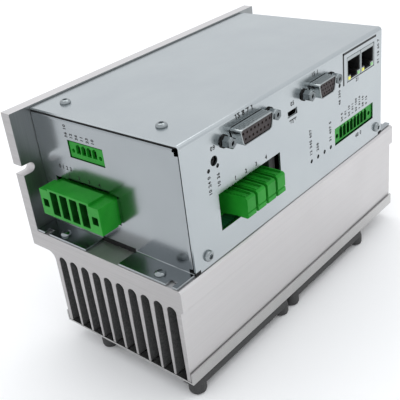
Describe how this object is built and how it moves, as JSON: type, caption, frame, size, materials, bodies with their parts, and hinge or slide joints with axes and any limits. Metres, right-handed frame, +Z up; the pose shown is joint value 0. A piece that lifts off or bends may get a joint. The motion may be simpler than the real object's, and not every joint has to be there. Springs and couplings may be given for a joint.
{
  "type": "servo drive",
  "caption": "Wall-mounted servo drive: sheet steel housing on a finned L-shaped heatsink, with guarded fans beneath and connectors on its front and end.",
  "frame": {"origin": "middle of the drive's length and depth, on the plane its feet stand on", "axes": "+X along the drive from the near end (with the supply header) to the far end, +Y from the connector face back to the wall, +Z up"},
  "size_m": [0.1914, 0.11, 0.1269],
  "materials": {
    "extrusion": "pressed aluminium, bead blasted, pale",
    "zinced_sheet": "zinc plated sheet steel, clear passivated, glossy",
    "screw_steel": "zinc plated screws, bright",
    "socket_metal": "tin and nickel plated pressings",
    "black_plastic": "glass filled plastic, matt",
    "green_plastic": "green moulded terminal plastic, satin",
    "socket_insulator": "dark brown moulded insulator",
    "circuit_board": "green solder mask",
    "capacitor_sleeve": "shrunk sleeve",
    "resin": "pale moulded resin",
    "pad": "thermal pad",
    "copper": "enamelled winding",
    "brass": "turned brass",
    "led_clear": "clear light pipe"
  },
  "bodies": {
    "drive": {"heatsink": "extrusion", "bottom_cover": "zinced_sheet", "top_cover": "zinced_sheet", "near_end_panel": "zinced_sheet", "far_end_panel": "zinced_sheet", "cover_screw_1": "screw_steel", "cover_screw_2": "screw_steel", "front_screw_1": "screw_steel", "front_screw_2": "screw_steel", "near_tab_screw_1": "screw_steel", "far_tab_screw_1": "screw_steel", "near_tab_screw_2": "screw_steel", "far_tab_screw_2": "screw_steel", "fan_1_frame": "black_plastic", "fan_1_guard": "black_plastic", "fan_2_frame": "black_plastic", "fan_2_guard": "black_plastic", "encoder_socket_shell": "socket_metal", "encoder_socket_insert": "socket_insulator", "encoder_jackscrew_1": "socket_metal", "encoder_jackscrew_2": "socket_metal", "feedback_socket_shell": "socket_metal", "feedback_socket_insert": "socket_insulator", "feedback_jackscrew_1": "socket_metal", "feedback_jackscrew_2": "socket_metal", "network_jack_1": "socket_metal", "network_jack_2": "socket_metal", "usb_port": "socket_metal", "io_header": "green_plastic", "safety_header": "green_plastic", "supply_header": "green_plastic", "motor_header": "green_plastic", "address_switch": "black_plastic", "node_leds": "led_clear", "bus_led": "led_clear", "status_leds": "led_clear", "power_board": "circuit_board", "control_board": "circuit_board", "bus_capacitor_1": "capacitor_sleeve", "bus_capacitor_2": "capacitor_sleeve", "bus_capacitor_3": "capacitor_sleeve", "bus_capacitor_4": "capacitor_sleeve", "power_module_1": "resin", "thermal_pad_1": "pad", "power_module_2": "resin", "thermal_pad_2": "pad", "supply_choke": "copper", "aux_transformer": "capacitor_sleeve", "base_standoff_1": "brass", "board_standoff_1": "brass", "base_standoff_2": "brass", "board_standoff_2": "brass", "base_standoff_3": "brass", "board_standoff_3": "brass", "base_standoff_4": "brass", "board_standoff_4": "brass"},
    "fan_1": {"fan_1_rotor": "black_plastic"},
    "fan_2": {"fan_2_rotor": "black_plastic"},
    "address_dial": {"address_rotor": "resin"}
  },
  "joints": [
    {"name": "fan_1_spin", "type": "hinge", "parent": "drive", "child": "fan_1", "pos_m": [-0.05505, -0.014, 0.017], "axis": [0, 0, 1], "continuous": true},
    {"name": "fan_2_spin", "type": "hinge", "parent": "drive", "child": "fan_2", "pos_m": [0.02335, -0.014, 0.017], "axis": [0, 0, 1], "continuous": true},
    {"name": "address_turn", "type": "hinge", "parent": "drive", "child": "address_dial", "pos_m": [-0.06385, -0.045, 0.1098], "axis": [0, 1, 0], "continuous": true}
  ]
}
